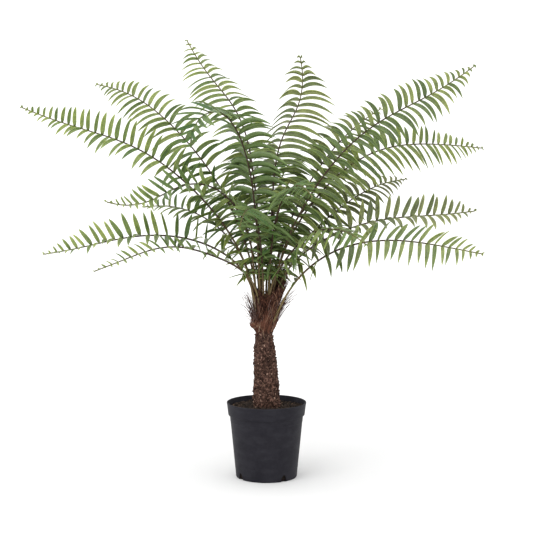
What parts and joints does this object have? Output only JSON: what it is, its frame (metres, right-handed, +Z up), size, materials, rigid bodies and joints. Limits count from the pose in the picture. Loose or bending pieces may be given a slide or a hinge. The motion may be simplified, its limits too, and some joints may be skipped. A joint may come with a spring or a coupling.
{
  "type": "potted fern",
  "caption": "Fern with long arching feathery fronds rising from a fibrous trunk that stands in a tapered nursery pot of soil.",
  "frame": {"origin": "centre of the underside of the pot, on the surface the pot stands on", "axes": "+Z up along the pot's axis, -Y towards the side the plant is usually seen from, +X to that viewer's right"},
  "size_m": [1.0222, 0.6434, 0.9594],
  "materials": {
    "pot": "matte",
    "soil": "rough",
    "trunk": "rough",
    "sheath": "rough",
    "leaf": "satin"
  },
  "bodies": {
    "root": {"pot": "pot", "potting_soil": "soil", "trunk": "trunk", "crown_sheath": "sheath", "frond_01": "leaf", "frond_02": "leaf", "frond_03": "leaf", "frond_04": "leaf", "frond_05": "leaf", "frond_06": "leaf", "frond_07": "leaf", "frond_08": "leaf", "frond_09": "leaf", "frond_10": "leaf", "frond_11": "leaf", "frond_12": "leaf", "frond_13": "leaf", "frond_14": "leaf", "frond_15": "leaf", "frond_16": "leaf", "frond_17": "leaf", "frond_18": "leaf", "frond_19": "leaf", "frond_20": "leaf", "frond_21": "leaf", "frond_22": "leaf", "frond_23": "leaf", "frond_24": "leaf"}
  },
  "joints": []
}
